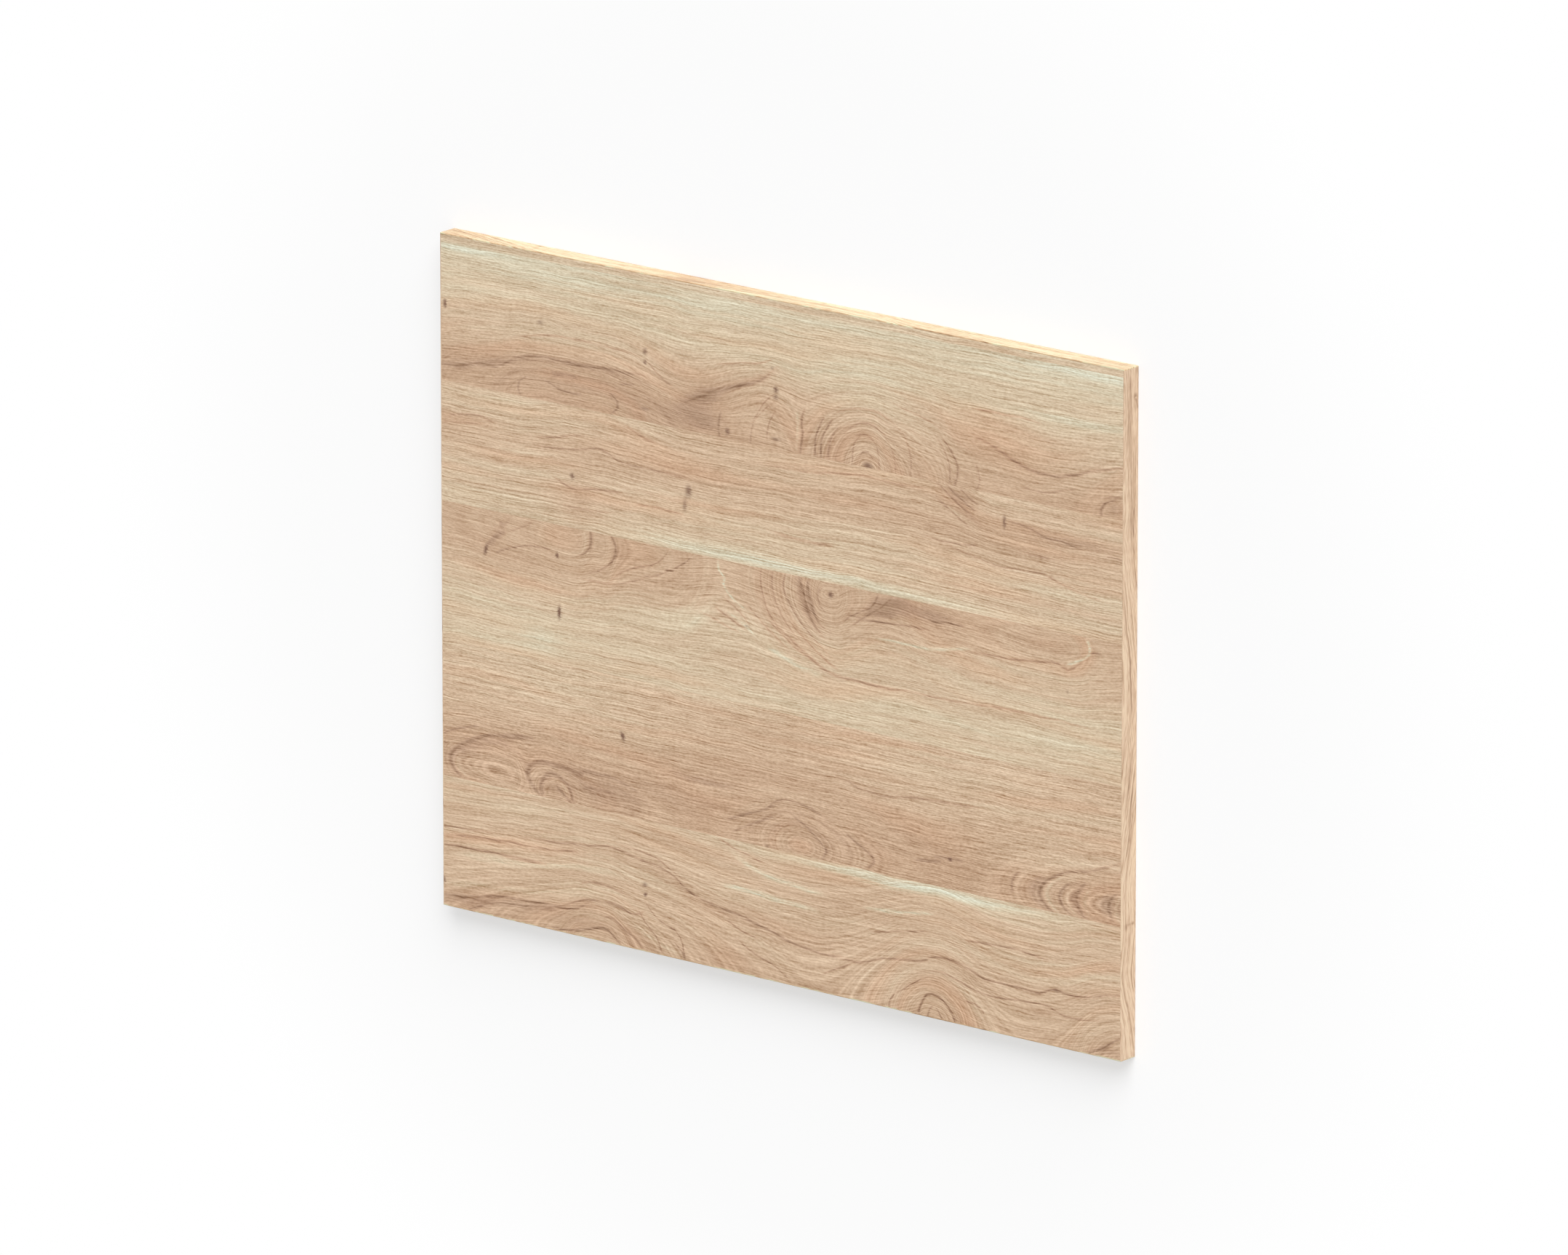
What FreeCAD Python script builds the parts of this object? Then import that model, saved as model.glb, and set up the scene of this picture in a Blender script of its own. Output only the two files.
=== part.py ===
"""Bath end panel: a decor-faced board with an edging strip glued along each of its four edges.

The panel lies on its back. X runs along its width, +Y towards the edge that goes under the bath rim,
and +Z out of the decor face. The origin is the middle of the back face. All sizes are in millimetres.
"""

import FreeCAD
import Part
import Sketcher
import os

# Driving dimensions, which become the aliased cells of the sheet
SIZES = {
    "panel_width": 700.0,
    "panel_height": 560.0,
    "panel_thickness": 18.0,
    "edging_thickness": 1.0,
    "arris_radius": 0.5,
}

# Directions in which the panel's edges and its decor face look
RIGHT = FreeCAD.Vector(1, 0, 0)
RIMWARD = FreeCAD.Vector(0, 1, 0)
UPWARD = FreeCAD.Vector(0, 0, 1)

# Distance from the middle of the panel to the board's own edges, which the strips are glued to
SEAT_ON_SIDE = "Sizes.panel_width / 2 - Sizes.edging_thickness"
SEAT_ON_TOP = "Sizes.panel_height / 2 - Sizes.edging_thickness"

# Each edging strip: the edge that it is glued to, the distance to its seat, and its length. The side
# strips go on first, and the top and bottom strips cover their ends, as an edge bander lays them.
SIDE_LENGTH = "Sizes.panel_height - 2 * Sizes.edging_thickness"
TOP_LENGTH = "Sizes.panel_width"
EDGING = {
    "edge_strip_right": {"faces": RIGHT, "seat": SEAT_ON_SIDE, "length": SIDE_LENGTH, "covers_ends": False},
    "edge_strip_left": {"faces": -RIGHT, "seat": SEAT_ON_SIDE, "length": SIDE_LENGTH, "covers_ends": False},
    "edge_strip_top": {"faces": RIMWARD, "seat": SEAT_ON_TOP, "length": TOP_LENGTH, "covers_ends": True},
    "edge_strip_bottom": {"faces": -RIMWARD, "seat": SEAT_ON_TOP, "length": TOP_LENGTH, "covers_ends": True},
}
SAME_PLACE = 1e-6


def add_sheet(doc):
    """Put the driving dimensions in a spreadsheet, one aliased cell each."""
    sheet = doc.addObject("Spreadsheet::Sheet", "Sizes")
    for row, (name, value) in enumerate(SIZES.items(), start=1):
        sheet.set(f"A{row}", name)
        sheet.set(f"B{row}", str(value))
        sheet.setAlias(f"B{row}", name)
    doc.recompute()
    return sheet


def add_body(doc, label):
    """Add an empty body under the name that its piece goes by."""
    body = doc.addObject("PartDesign::Body", label)
    body.Label = label
    return body


def floor_plane(body):
    """Return the body's own XY plane, which holds the sketches."""
    return next(plane for plane in body.Origin.OriginFeatures if plane.Role == "XY_Plane")


def add_rectangle(body, name, left, right, half_length):
    """Sketch a rectangle on the floor plane, centred along Y, between two distances along X.

    Each distance is an expression of the sheet's cells, measured from the body's own origin.
    """
    sketch = body.newObject("Sketcher::SketchObject", name)
    sketch.AttachmentSupport = [(floor_plane(body), "")]
    sketch.MapMode = "FlatFace"
    corners = [(-1, -1), (1, -1), (1, 1), (-1, 1)]
    points = [FreeCAD.Vector(x, y, 0) for x, y in corners]
    for start, end in zip(points, points[1:] + points[:1]):
        sketch.addGeometry(Part.LineSegment(start, end))
    lower, outer, upper, inner = range(len(points))
    start_point, end_point, origin = 1, 2, (-1, 1)
    for line, following in zip((lower, outer, upper, inner), (outer, upper, inner, lower)):
        sketch.addConstraint(Sketcher.Constraint("Coincident", line, end_point, following, start_point))
    for line in (lower, upper):
        sketch.addConstraint(Sketcher.Constraint("Horizontal", line))
    for line in (outer, inner):
        sketch.addConstraint(Sketcher.Constraint("Vertical", line))
    placed = [
        ("left", "DistanceX", inner, left),
        ("right", "DistanceX", outer, right),
        ("foot", "DistanceY", lower, f"-({half_length})"),
        ("head", "DistanceY", upper, half_length),
    ]
    for alias, kind, line, expression in placed:
        index = sketch.addConstraint(Sketcher.Constraint(kind, *origin, line, start_point, 1.0))
        sketch.renameConstraint(index, alias)
        sketch.setExpression(f"Constraints.{alias}", expression)
    return sketch


def add_pad(body, sketch, name):
    """Raise a sketch to the panel's thickness."""
    pad = body.newObject("PartDesign::Pad", name)
    pad.Profile = sketch
    pad.setExpression("Length", "Sizes.panel_thickness")
    return pad


def add_board(doc):
    """Build the faced board, which is smaller than the panel by the strips around it."""
    body = add_body(doc, "faced_board")
    outline = add_rectangle(body, "board_outline", f"-({SEAT_ON_SIDE})", SEAT_ON_SIDE, SEAT_ON_TOP)
    add_pad(body, outline, "board_pad")
    return body


def arris_edges(strip, outer_x, end_y, covers_ends):
    """Name the edges of a strip that are trimmed round: the outer ones, and at a covering end all three."""
    names = []
    for number, edge in enumerate(strip.Edges, start=1):
        middle = edge.CenterOfMass
        along = edge.tangentAt(edge.FirstParameter)
        on_outer_face = abs(middle.x - outer_x) < SAME_PLACE
        on_end = abs(abs(middle.y) - end_y) < SAME_PLACE
        runs_through = abs(along.z) > 1 - SAME_PLACE
        long_arris = on_outer_face and not on_end
        end_arris = on_end and (on_outer_face or not runs_through)
        if long_arris or (covers_ends and end_arris):
            names.append(f"Edge{number}")
    return names


def add_strip(doc, label, plan):
    """Build one edging strip with its seat on its own YZ plane, then turn it and move it to its edge."""
    body = add_body(doc, label)
    outline = add_rectangle(body, f"{label}_outline", "0", "Sizes.edging_thickness", f"({plan['length']}) / 2")
    pad = add_pad(body, outline, f"{label}_pad")
    doc.recompute()
    box = pad.Shape.BoundBox
    trim = body.newObject("PartDesign::Fillet", f"{label}_trim")
    trim.Base = (pad, arris_edges(pad.Shape, box.XMax, box.YMax, plan["covers_ends"]))
    trim.setExpression("Radius", "Sizes.arris_radius")
    outward = plan["faces"]
    turn = FreeCAD.Rotation(outward, UPWARD.cross(outward), UPWARD, "ZXY")
    body.Placement = FreeCAD.Placement(FreeCAD.Vector(), turn)
    body.setExpression("Placement.Base.x", f"{round(outward.x)} * ({plan['seat']})")
    body.setExpression("Placement.Base.y", f"{round(outward.y)} * ({plan['seat']})")
    return body


def check(doc, pieces):
    """Stop if any object failed to build, or a piece isn't one sound solid."""
    failed = [item.Name for item in doc.Objects if {"Invalid", "Error"} & set(item.State)]
    if failed:
        raise RuntimeError(f"these objects failed: {failed}")
    for piece in pieces:
        shape = piece.Shape
        if shape.isNull() or not shape.isValid() or len(shape.Solids) != 1:
            raise RuntimeError(f"{piece.Label} isn't one valid solid")


def main():
    """Build the panel and write each piece to a STEP file of its own name."""
    doc = FreeCAD.newDocument("bath_end_panel")
    add_sheet(doc)
    pieces = [add_board(doc)]
    pieces += [add_strip(doc, label, plan) for label, plan in EDGING.items()]
    doc.recompute()
    check(doc, pieces)
    os.makedirs("parts", exist_ok=True)
    for piece in pieces:
        piece.Shape.exportStep(f"parts/{piece.Label}.step")
        box = piece.Shape.BoundBox
        print(f"{piece.Label}: {box.XLength:.2f} x {box.YLength:.2f} x {box.ZLength:.2f} mm")


main()
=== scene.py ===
"""Looks of a bath end panel: an oak decor on its face and edging, a white studio and the photo's camera.

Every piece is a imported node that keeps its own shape, so this script makes finishes, light and view only.
Places on the decor face are in millimetres from its upper left corner, x to the right and y down.
"""

import logging
import math
from collections.abc import Sequence
from dataclasses import dataclass, field
from enum import Enum
from functools import partial

import bpy
from mathutils import Matrix, Vector


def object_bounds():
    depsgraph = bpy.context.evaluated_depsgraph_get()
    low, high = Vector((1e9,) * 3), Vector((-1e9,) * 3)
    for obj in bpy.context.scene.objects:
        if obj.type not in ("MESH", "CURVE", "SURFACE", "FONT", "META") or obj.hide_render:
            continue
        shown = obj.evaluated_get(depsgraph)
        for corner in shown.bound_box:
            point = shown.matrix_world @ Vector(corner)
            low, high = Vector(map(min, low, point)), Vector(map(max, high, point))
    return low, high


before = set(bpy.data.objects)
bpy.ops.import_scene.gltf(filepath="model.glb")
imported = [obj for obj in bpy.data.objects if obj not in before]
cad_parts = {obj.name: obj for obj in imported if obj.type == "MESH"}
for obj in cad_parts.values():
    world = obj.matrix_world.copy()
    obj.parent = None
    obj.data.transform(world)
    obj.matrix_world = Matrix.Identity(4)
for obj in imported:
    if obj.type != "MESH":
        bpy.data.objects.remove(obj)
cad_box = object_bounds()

log = logging.getLogger("bath_end_panel")

MM = 0.001
SRGB_KNEE, SRGB_SLOPE, SRGB_OFFSET, SRGB_POWER = 0.04045, 12.92, 0.055, 2.4
LEVELS = 255
WHITE = (1.0, 1.0, 1.0, 1.0)
ONE_OVER_E = math.exp(-1)
NOISE_MIDDLE = 0.5
RING_FADE_POWER = 4
LEAN_FADE_POWER = 2
STROKE_END_SQUARINGS = 3
# Vector nodes carry three thin lines at once, and an idle lane draws none
LANES = 3
IDLE_LANE = (1.0, 1.0, 0.0, 0.0)
# Sockets of a colour mix: how much of the second colour, then both colours
MIX_SHARE, MIX_FIRST, MIX_SECOND = 0, 6, 7

# Some places and the value at each, some levels and the colour of each, and what can feed a socket
Curve = tuple[tuple[float, float], ...]
Tones = tuple[tuple[float, str], ...]
Feed = bpy.types.Node | bpy.types.NodeSocket | float


def linear(code: str) -> tuple[float, float, float, float]:
    """Turn an sRGB hex colour into a linear one.

    Args:
        code: a hash sign and six hex digits.

    Returns:
        Red, green, blue and a full alpha.
    """
    lit = []
    for level in bytes.fromhex(code.lstrip("#")):
        share = level / LEVELS
        if share <= SRGB_KNEE:
            lit.append(share / SRGB_SLOPE)
        else:
            lit.append(((share + SRGB_OFFSET) / (1 + SRGB_OFFSET)) ** SRGB_POWER)
    return (*lit, 1.0)


def add_node(
    tree: bpy.types.NodeTree, kind: str, inputs: dict | None = None, **settings: object
) -> bpy.types.Node:
    """Add one shader node with its settings, its plain inputs and its links.

    Args:
        tree: node tree of the material or world.
        kind: the node's type, without the prefix that all shader nodes share.
        inputs: for a socket's name or number, a plain value, or the node or socket that feeds it.
        settings: properties of the node, such as its operation.

    Returns:
        The new node.
    """
    node = tree.nodes.new("ShaderNode" + kind)
    for name, value in settings.items():
        setattr(node, name, value)
    for key, value in (inputs or {}).items():
        if isinstance(value, bpy.types.Node):
            value = next(socket for socket in value.outputs if socket.enabled)
        if isinstance(value, bpy.types.NodeSocket):
            tree.links.new(value, node.inputs[key])
        else:
            node.inputs[key].default_value = value
    return node


@dataclass(frozen=True)
class Mark:
    """A soft oval: middle and half sizes in mm, strength in colour levels and tilt in degrees."""

    x: float
    y: float
    half_length: float
    half_width: float
    strength: float
    tilt: float = 0.0


@dataclass(frozen=True)
class Stroke:
    """A growth ring that stands out: points on it and half width in mm, and strength in colour levels.

    The points of a steep stroke follow one another down the face, and those of any other along it.
    """

    points: Curve
    strength: float
    half_width: float = 0.8

    @property
    def steep(self) -> bool:
        """Tell whether the stroke goes at least as far down the face as along it."""
        (first_x, first_y), (last_x, last_y) = self.points[0], self.points[-1]
        return last_y - first_y >= last_x - first_x

    @property
    def course(self) -> Curve:
        """Give the points as places along the stroke's own direction and across it."""
        return tuple((y, x) for x, y in self.points) if self.steep else self.points


@dataclass(frozen=True)
class Stave:
    """One strip of wood in the decor: how its growth rings lie behind the face, and what marks it.

    The rings are tubes round a pith that wanders behind the face. Where the pith comes near the face,
    the rings show as closed eyes and arches, and away from it they show as long lines. They fade with
    the reach, and the fibres lean with them within a reach of their own.

    Patches are browner or paler places with streaky edges, and strokes are single growth rings. Knots
    are dark pips where a twig grew. A twist turns the grain round its middle, and its strength is the
    slope there. Tones are colour levels down the stave. Grain and figure are how much of the film's
    fine grain and ring lines it shows, and the eyes add to its figure.
    """

    top: float
    reach: float
    lean: float
    lean_reach: float
    grain: float
    figure: float
    tones: Curve
    pith_height: Curve
    pith_depth: Curve
    patches: tuple[Mark, ...] = ()
    strokes: tuple[Stroke, ...] = ()
    eyes: tuple[Mark, ...] = ()
    knots: tuple[Mark, ...] = ()
    twists: tuple[Mark, ...] = ()


FIRST_STAVE = Stave(
    top=0.0, reach=100, lean=0.0, lean_reach=60, grain=1.0, figure=1.0,
    tones=((0, 8), (560, 8)),
    pith_height=((0, 60), (700, 60)),
    pith_depth=((0, 20), (700, 20)),
)

SECOND_STAVE = Stave(
    top=6.5, reach=95, lean=-0.35, lean_reach=60, grain=0.95, figure=0.6,
    tones=(
        (0, 17), (6, 17), (14, 15), (28, 12.5), (42, 10), (57, 7), (71, 2), (86, -3), (100, -8),
        (115, -11), (560, -11),
    ),
    pith_height=((0, 124), (700, 124)),
    pith_depth=(
        (0, 42), (20, 34), (60, 27), (90, 12), (135, 8), (180, 12), (205, 22), (230, 32), (258, 40),
        (300, 44), (345, 46), (362, 50), (375, 52), (388, 47), (396, 41), (412, 29), (430, 12), (443, 2),
        (462, 20), (480, 30), (500, 38), (515, 44), (530, 55), (545, 58), (575, 60), (600, 62),
        (640, 62), (660, 59), (690, 50), (700, 46),
    ),
    patches=(
        Mark(25, 10, 50, 2.5, 12), Mark(640, 11, 90, 3, 14), Mark(650, 50, 60, 4, 10),
        Mark(440, 62, 60, 14, 5), Mark(110, 98, 130, 20, -7), Mark(620, 96, 100, 26, 5),
        Mark(270, 106, 32, 12, -14), Mark(272, 110, 14, 7, -12), Mark(462, 102, 50, 20, 7),
        Mark(276, 90, 24, 6.5, -24, -24), Mark(322, 71, 26, 3, -14, -24), Mark(692, 112, 10, 6, -10),
    ),
    strokes=(
        Stroke(((0, 109), (20, 106), (40, 102), (62, 100.5), (76, 93), (90, 88), (105, 86), (140, 86.5),
                (180, 85.5), (212, 84)), -29, 1.2),
        Stroke(((0, 108), (40, 102), (76, 94), (105, 88), (180, 87), (225, 90)), -10, 4),
        Stroke(((80, 74), (120, 67.5), (170, 66.5), (205, 69)), -19),
        Stroke(((112, 105), (127, 109), (147, 109.5)), -26),
        Stroke(((92, 103), (84, 108), (81.5, 114), (85, 121)), -19, 1.0),
        Stroke(((176, 103), (185, 109), (186, 114), (179, 121)), -24, 1.2),
        Stroke(((188, 94.5), (195, 93.5), (203, 93)), -22),
        Stroke(((118, 98), (130, 97.5), (142, 97)), -22, 1.7),
        Stroke(((216, 70), (226, 79), (240, 87)), -22),
        Stroke(((255, 99), (275, 89.5), (290, 83), (312, 76), (328, 71), (340, 64),
                (347, 58)), -26, 1.4),
        Stroke(((290, 62), (310, 58), (330, 55), (345, 49.5)), -19),
        Stroke(((350, 76), (340, 83), (331, 94), (325, 103)), -22),
        Stroke(((347, 84), (336, 92), (326, 104), (323, 121)), -19),
        Stroke(((348, 91), (341, 104), (340, 115)), -17),
        Stroke(((292, 101), (290, 110), (291, 121)), -22, 1.0),
        Stroke(((371, 88), (371, 105), (369.5, 121)), 12, 1.6),
        Stroke(((378, 86), (375, 95), (376.5, 104), (375, 112), (374, 121)), -34, 1.1),
        Stroke(((398, 88), (392, 100), (389, 111), (389.5, 121)), -36, 1.0),
        Stroke(((407, 88), (399, 100), (395, 111), (395.5, 121)), -34, 1.0),
        Stroke(((416, 90), (407, 101), (403, 112), (403, 121)), -17, 1.0),
        Stroke(((434, 98), (429, 104), (427.5, 112), (427, 121)), -22),
        Stroke(((430, 97.5), (436, 95.5), (443, 95.5), (449, 99), (452, 103)), -19),
        Stroke(((452, 103), (454, 112), (454, 121)), -17),
        Stroke(((418, 98), (428, 89.5), (437, 86), (448, 86), (458, 91), (466, 100)), -19),
        Stroke(((466, 100), (470, 110), (471, 121)), -14),
        Stroke(((434, 114), (437, 110.5), (442, 109), (447, 112), (449, 116)), -24),
        Stroke(((405, 86), (415, 79), (430, 74.5), (450, 74), (465, 79), (480, 90)), -14),
        Stroke(((480, 90), (486, 104), (486, 121)), -14),
        Stroke(((512, 84), (522, 96), (526, 109), (525, 121)), -19),
        Stroke(((518, 84), (530, 97), (533.5, 103), (531, 121)), -31, 1.1),
        Stroke(((552, 100), (556, 111), (553, 121)), -17),
        Stroke(((470, 66), (500, 72), (530, 82), (550, 92)), -14),
        Stroke(((552, 78), (577, 86), (597, 93), (622, 97), (645, 95), (660, 90), (675, 85), (690, 81.5),
                (700, 79)), -31, 1.3),
        Stroke(((600, 110), (622, 111.5), (640, 108), (652, 103.5)), -17),
        Stroke(((550, 56), (580, 55), (615, 56)), -19),
        Stroke(((690, 105), (682, 109), (678, 114), (678, 121)), -36, 1.4),
        Stroke(((683, 104.5), (692, 103), (700, 103)), -22),
    ),
    eyes=(Mark(440, 106, 75, 32, 1.4), Mark(135, 112, 50, 10, 0.6)),
    knots=(
        Mark(5, 58, 2.2, 4.7, 0.8), Mark(105, 59, 4.7, 2.2, 0.6), Mark(214, 64, 3.2, 3.2, 0.7),
        Mark(214, 72.5, 2.4, 2.2, 0.7), Mark(345, 57, 2.2, 2.7, 0.5), Mark(349, 73.5, 3.0, 3.2, 0.8),
        Mark(349, 80, 3.5, 1.8, 0.7), Mark(299, 114.5, 2.7, 3.8, 0.7), Mark(349, 113.5, 6.1, 1.6, 0.6),
        Mark(214, 112, 8.1, 2.2, 0.5), Mark(443, 120, 6.1, 3.0, 0.7),
    ),
    twists=(Mark(300, 78, 60, 25, 0.44),),
)

THIRD_STAVE = Stave(
    top=121.5, reach=160, lean=0.2, lean_reach=150, grain=1.03, figure=1.0,
    tones=((0, 2), (121, 2), (140, -1), (153, -4), (165, -2), (178, 2), (203, 4), (214, 6), (560, 6)),
    pith_height=((0, 40), (700, 40)),
    pith_depth=(
        (0, 48), (90, 48), (150, 66), (210, 56), (260, 40), (330, 46), (420, 62), (490, 70), (530, 55),
        (575, 20), (620, 12), (700, 10),
    ),
    patches=(
        Mark(650, 148, 60, 4, -14), Mark(25, 150, 35, 4, -8), Mark(145, 200, 26, 20, -8),
        Mark(537, 130, 18, 9, -18), Mark(540, 140, 22, 3, -12, 30), Mark(350, 217, 150, 4.5, 18),
        Mark(70, 128, 50, 4, 6), Mark(90, 168, 30, 5, 6), Mark(60, 140, 80, 14, 4),
        Mark(580, 150, 130, 16, -3), Mark(620, 190, 90, 8, 4),
    ),
    strokes=(
        Stroke(((10, 148.5), (35, 145), (55, 148)), -25),
        Stroke(((0, 156), (20, 153), (45, 152)), -15),
        Stroke(((100, 153.5), (120, 150), (137, 146), (150, 144)), -20),
        Stroke(((100, 161), (125, 158.5), (150, 155), (165, 152), (175, 153.5), (187, 158), (215, 159),
                (256, 160)), -25),
        Stroke(((120, 184), (140, 189), (160, 186.5), (188, 184)), -32),
        Stroke(((128, 203.5), (150, 205), (175, 203)), -22),
        Stroke(((205, 191), (230, 190), (252, 191.5)), -20),
        Stroke(((195, 129), (210, 134), (225, 138)), -20),
        Stroke(((340, 136), (380, 135), (420, 130), (460, 129), (497, 128.5)), -20),
        Stroke(((512, 122), (527, 131), (540, 139), (551, 143)), -28),
        Stroke(((522, 122), (537, 131), (552, 138)), -28),
        Stroke(((536, 122), (546, 129), (556, 133)), -22),
        Stroke(((515, 136), (530, 144), (545, 153)), -30, 1.0),
        Stroke(((524, 140), (532, 144), (539, 149)), 18, 1.0),
        Stroke(((518, 127), (530, 135), (545, 143)), 14, 1.0),
        Stroke(((503, 166), (527, 168), (552, 166.5)), -30),
        Stroke(((525, 170), (550, 176), (570, 179), (600, 178), (622, 178), (642, 184),
                (672, 188)), -22),
        Stroke(((588, 141), (605, 143.5), (622, 148), (640, 148.5), (655, 151)), -28),
        Stroke(((594, 165.5), (620, 164), (640, 165)), -20),
        Stroke(((340, 190), (370, 191), (405, 191)), -18, 1.3),
        Stroke(((684, 154), (692, 153.5), (700, 154)), -28),
    ),
    knots=(
        Mark(259, 171, 4.2, 6.4, 0.7), Mark(255, 184, 3.0, 7.0, 0.55), Mark(138, 179, 3.0, 3.8, 0.7),
        Mark(581, 142, 2.4, 7.4, 0.7),
    ),
)

FOURTH_STAVE = Stave(
    top=221.5, reach=90, lean=0.35, lean_reach=50, grain=0.92, figure=0.5,
    tones=((0, -6), (228, -6), (243, -5), (257, -2), (272, 3), (286, 6.5), (300, 7), (315, 8), (560, 8)),
    pith_height=((0, 232), (260, 230), (405, 231), (480, 226), (560, 234), (640, 234), (700, 240)),
    pith_depth=(
        (0, 34), (30, 30), (62, 24), (100, 16), (130, 8), (145, 10), (158, 21), (172, 24), (185, 35),
        (230, 42), (259, 50), (280, 62), (300, 66), (345, 50), (380, 25), (405, 2), (425, 20), (460, 33),
        (510, 22), (560, 14), (640, 5), (656, 12), (667, 20), (700, 34),
    ),
    patches=(
        Mark(60, 239, 16, 4, -12, -55), Mark(158, 230, 3, 8, -8), Mark(187, 232, 5, 8, -8),
        Mark(462, 232, 22, 8, -34, -20), Mark(500, 231, 34, 5.5, -22), Mark(560, 313, 170, 8, 3),
        Mark(60, 252, 90, 12, -4), Mark(275, 276, 60, 9, 6), Mark(105, 318, 22, 14, 6),
        Mark(383, 240, 9, 18, -10), Mark(600, 255, 100, 12, 4),
    ),
    strokes=(
        Stroke(((156, 221), (157.5, 230), (155, 237), (146, 243)), -38, 1.4),
        Stroke(((178, 221), (183.5, 231), (181, 240), (172, 248), (156, 256)), -34, 1.3),
        Stroke(((212, 249), (225, 246.5), (239, 240), (250, 234), (257, 230), (262, 224)), -26),
        Stroke(((235, 240.5), (239, 240), (244, 239)), -31),
        Stroke(((180, 256), (187, 251), (200, 244.5), (220, 239.5), (232, 231), (238, 223)), -24),
        Stroke(((150, 262), (175, 261), (195, 257), (212, 251)), -19),
        Stroke(((57, 256), (82, 246), (100, 243.5), (115, 243)), -24),
        Stroke(((49, 250), (57, 243), (68, 237)), -17, 2.2),
        Stroke(((289.5, 223), (290, 230), (296, 234), (295, 241), (300, 247.5), (308, 253),
                (318, 258)), 20, 1.4),
        Stroke(((288, 262), (302, 268), (316, 274.5)), -26),
        Stroke(((270, 268), (290, 272), (312, 279)), -16),
        Stroke(((296, 252), (310, 260), (322, 270)), -20),
        Stroke(((300, 263), (312, 269), (326, 277)), 12, 1.0),
        Stroke(((316, 250), (330, 262), (345, 273), (362, 283)), -16),
        Stroke(((340, 262), (355, 272), (372, 282), (392, 290)), -20),
        Stroke(((365, 262), (378, 272), (394, 283), (410, 290)), -20),
        Stroke(((60, 226), (62, 232), (72, 226)), -10, 2.0),
        Stroke(((70, 236), (84, 230), (96, 224)), -14, 1.0),
        Stroke(((334, 222), (333, 230), (335, 241), (341, 256), (350, 266)), -19, 0.9),
        Stroke(((346, 222), (345, 232), (348, 245), (356, 258), (368, 270)), -17, 0.9),
        Stroke(((359, 222), (356.5, 233), (363, 246), (371, 256), (383, 267), (400, 279)), -29, 1.1),
        Stroke(((370, 221), (378, 240), (390, 262)), -12, 6),
        Stroke(((372, 221), (378, 236), (380.5, 246), (387, 258), (396, 267)), -28, 1.5),
        Stroke(((381, 224), (386, 243), (392, 256), (400, 261.5)), -29, 1.2),
        Stroke(((394, 226), (392, 234), (396, 244), (405, 248)), -17),
        Stroke(((350, 266), (365, 275), (380, 284), (400, 294.5), (425, 297), (470, 298)), -26, 1.1),
        Stroke(((453, 224), (446, 235), (432, 241.5), (420, 249)), -31, 1.1),
        Stroke(((466, 224), (455, 234), (440, 243), (427, 252)), -26, 1.1),
        Stroke(((425, 244.5), (450, 245), (475, 243.5), (505, 242)), -29),
        Stroke(((508, 234.5), (522, 234), (540, 233.5)), -34),
        Stroke(((450, 258.5), (500, 258), (547, 251)), 16, 1.3),
        Stroke(((550, 253), (580, 251.5), (600, 250), (620, 248.5), (635, 247), (645, 251), (655, 245.5),
                (664, 240)), -29, 0.9),
        Stroke(((664, 223), (667, 233), (663, 239.5)), 24, 1.8),
        Stroke(((644, 246.5), (652, 244), (663, 239.5)), 20, 1.3),
        Stroke(((667, 234), (672, 233), (678, 233)), -29),
        Stroke(((410, 297), (450, 297.5), (500, 297), (560, 295), (620, 294), (660, 295)), -19),
        Stroke(((340, 284), (365, 293), (395, 300)), 12, 2.5),
    ),
    eyes=(Mark(375, 240, 45, 32, 1.2), Mark(190, 238, 60, 18, 0.7)),
    knots=(
        Mark(47, 255, 2.4, 6.1, 0.8, 20), Mark(122, 247, 2.2, 3.2, 0.8), Mark(124, 294, 2.3, 6.1, 0.9),
        Mark(405, 231, 3.2, 3.2, 0.8), Mark(645, 269, 2.2, 2.2, 0.5), Mark(319, 272, 2.7, 1.4, 0.5),
    ),
)

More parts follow.
